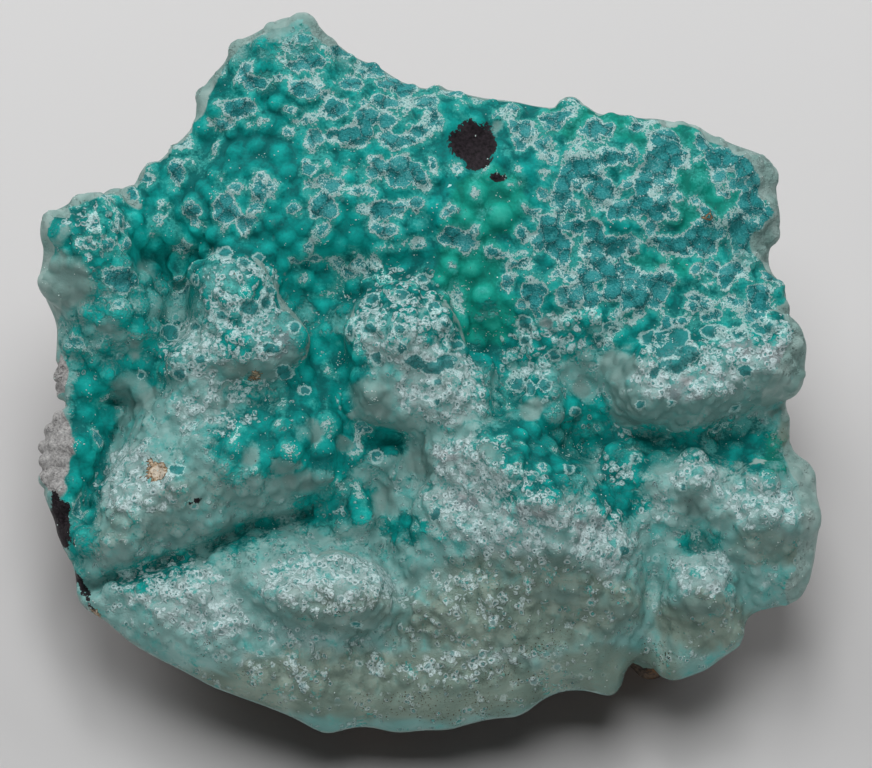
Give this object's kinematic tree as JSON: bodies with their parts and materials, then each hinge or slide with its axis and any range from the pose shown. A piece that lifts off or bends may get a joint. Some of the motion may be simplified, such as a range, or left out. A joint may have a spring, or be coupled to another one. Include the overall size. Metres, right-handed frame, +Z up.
{
  "type": "smithsonite specimen",
  "caption": "Loose mineral specimen: blue-green botryoidal smithsonite crust with rounded lumps on a small wedge of dark matrix, resting on its flat cut base.",
  "frame": {"origin": "middle of the bounding box, on the plane of the flat base", "axes": "+X across the specimen to the right, +Y towards its high back edge, +Z up from the base; the crusted face leans back from the low front"},
  "size_m": [0.0718, 0.0636, 0.0298],
  "materials": {
    "smithsonite": "waxy botryoidal crust with fine drusy sparkle, dull matrix below"
  },
  "bodies": {
    "root": {"smithsonite": "smithsonite"}
  },
  "joints": []
}
